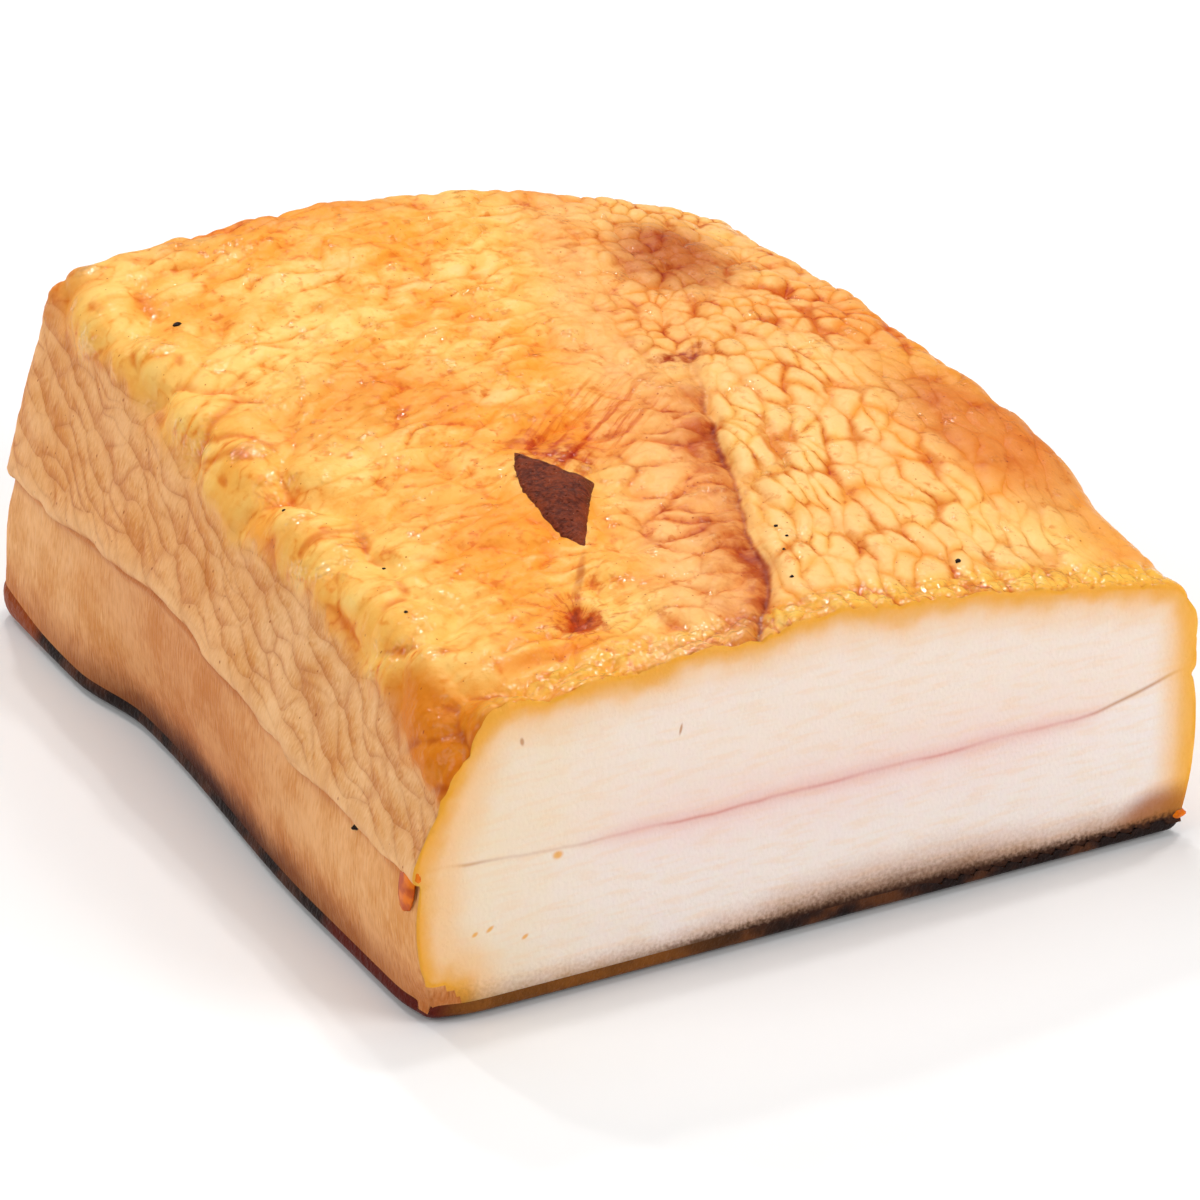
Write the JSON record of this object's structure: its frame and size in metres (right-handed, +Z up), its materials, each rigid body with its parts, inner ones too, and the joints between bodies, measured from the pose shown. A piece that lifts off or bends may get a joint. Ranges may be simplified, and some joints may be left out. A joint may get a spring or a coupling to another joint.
{
  "type": "smoked lardo slab",
  "caption": "Slab of cured and smoked pork back fat resting on its rind, with one fresh cut face, a lobed golden top and a seam between two fat layers.",
  "frame": {"origin": "middle of the underside's bounding box, on the surface the slab lies on", "axes": "+Z up out of the rind, +Y from the fresh cut face to the back, +X across the cut face to the right"},
  "size_m": [0.143, 0.1668, 0.0671],
  "materials": {
    "smoked_fat": "golden smoked fat, moist and softly glossy, pale pink-white where it is cut",
    "rind": "dark brown dried skin, hard, with a low gloss",
    "lean_meat": "dried dark mahogany lean meat"
  },
  "bodies": {
    "root": {"lardo_slab": "smoked_fat"}
  },
  "joints": []
}
